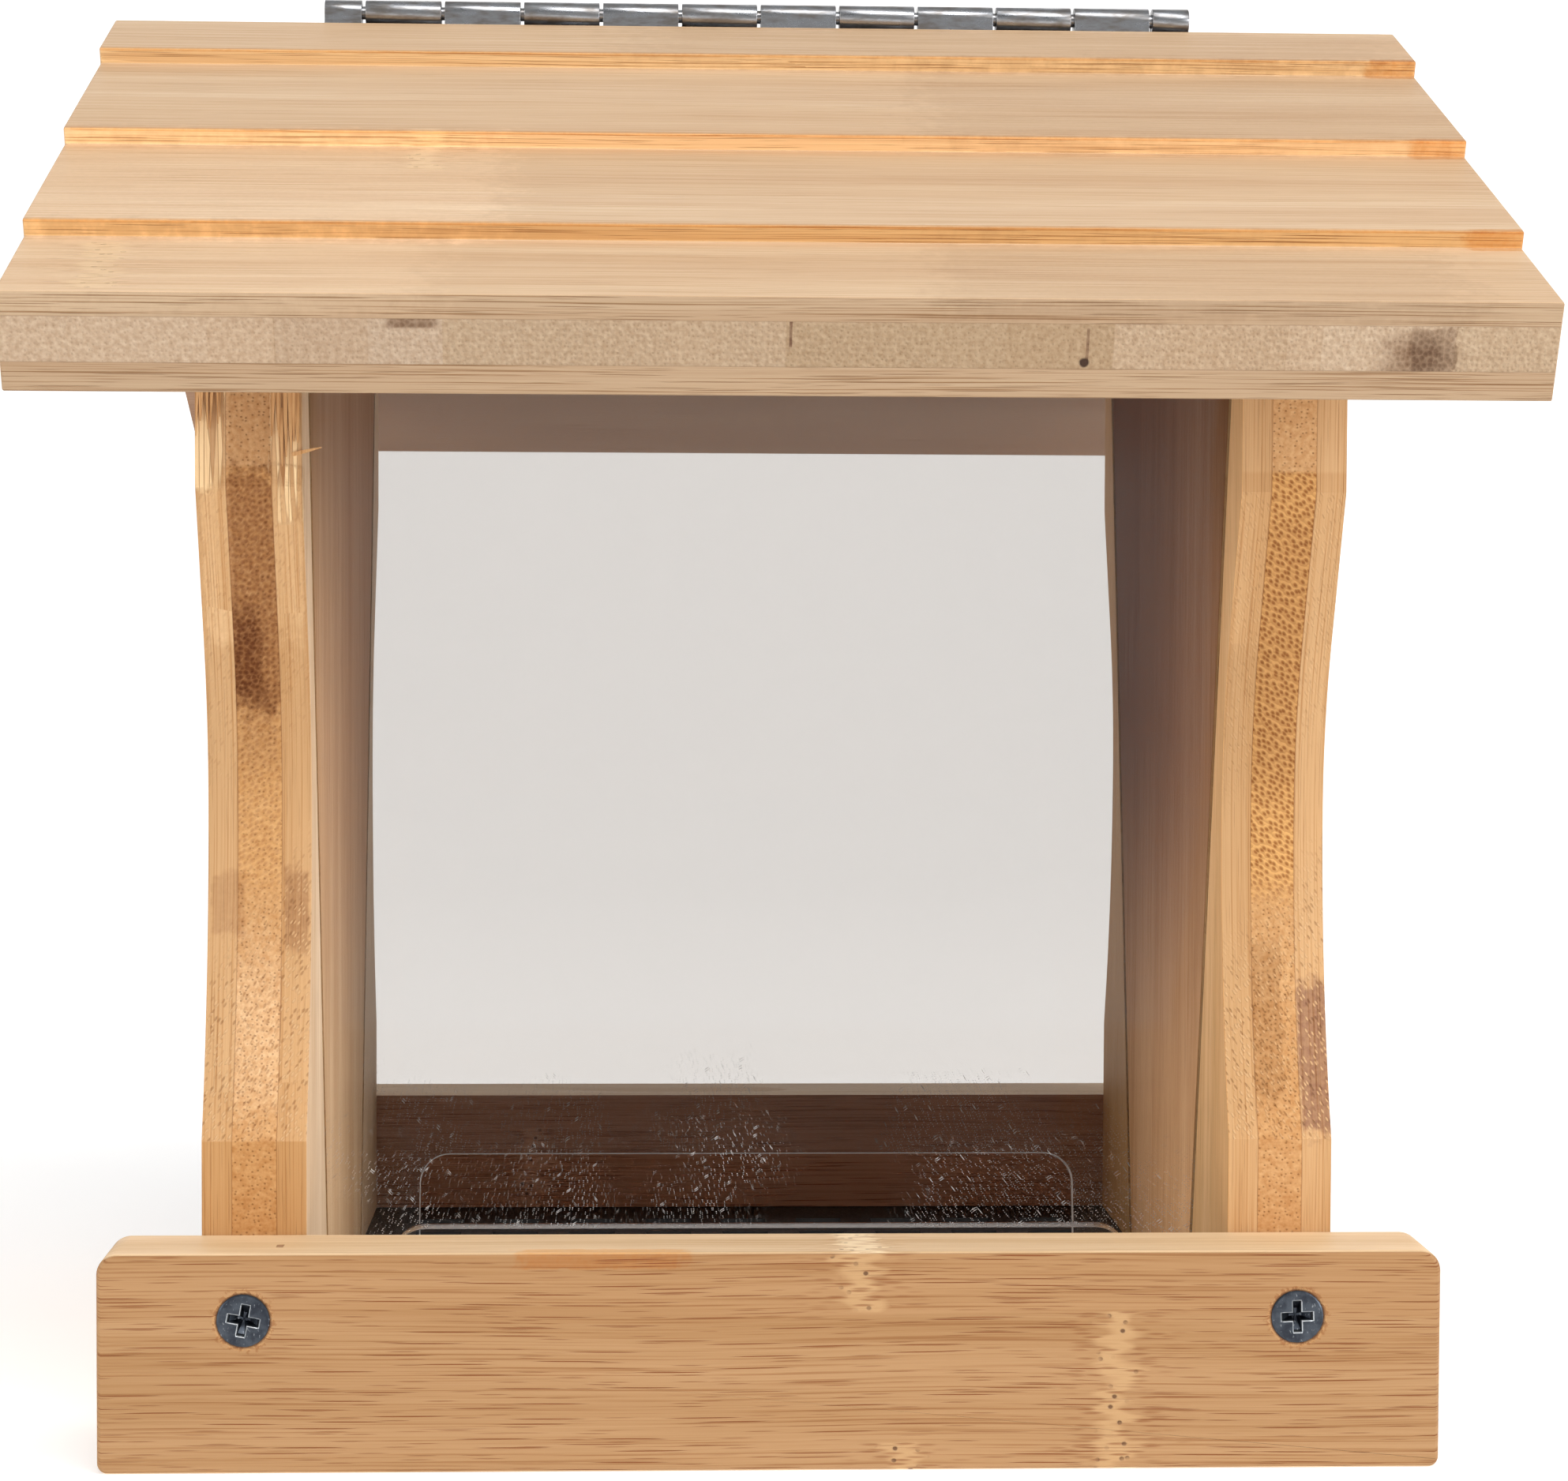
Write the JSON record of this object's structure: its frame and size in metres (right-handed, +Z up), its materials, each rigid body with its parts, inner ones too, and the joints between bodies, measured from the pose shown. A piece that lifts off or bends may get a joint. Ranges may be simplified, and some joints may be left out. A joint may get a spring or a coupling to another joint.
{
  "type": "hopper bird feeder",
  "caption": "Hopper bird feeder in pale bamboo ply with waisted sides, slanted clear windows over a seed tray, and a lapped gable roof whose front half lifts on a ridge hinge.",
  "frame": {"origin": "middle of the footprint, on the plane that the feeder stands on", "axes": "+Z up, -Y towards the front window and the hinged roof half, +X to the right seen from the front, along the ridge"},
  "size_m": [0.206, 0.2244, 0.2181],
  "materials": {
    "bamboo": "bare, fine sanded",
    "clear_acrylic": "clear, lightly scratched",
    "black_screen": "matt black powder coat",
    "hinge_steel": "bright plated",
    "screw_steel": "blue-grey zinc plated"
  },
  "bodies": {
    "housing": {"left_side_panel": "bamboo", "right_side_panel": "bamboo", "front_tray_board": "bamboo", "rear_tray_board": "bamboo", "floor_screen": "black_screen", "front_window": "clear_acrylic", "rear_window": "clear_acrylic", "rear_roof_panel": "bamboo", "fixed_hinge_leaf": "hinge_steel", "hinge_pin": "hinge_steel", "front_tray_screw_left": "screw_steel", "front_tray_screw_right": "screw_steel", "rear_tray_screw_left": "screw_steel", "rear_tray_screw_right": "screw_steel", "left_roof_screws": "screw_steel", "right_roof_screws": "screw_steel", "fixed_hinge_screws": "hinge_steel"},
    "lid": {"front_roof_panel": "bamboo", "lid_hinge_leaf": "hinge_steel", "lid_hinge_screws": "hinge_steel"}
  },
  "joints": [
    {"name": "lid_hinge", "type": "hinge", "parent": "housing", "child": "lid", "pos_m": [0, 0, 0.21612], "axis": [-1, 0, 0], "range_deg": [0, 227]}
  ]
}
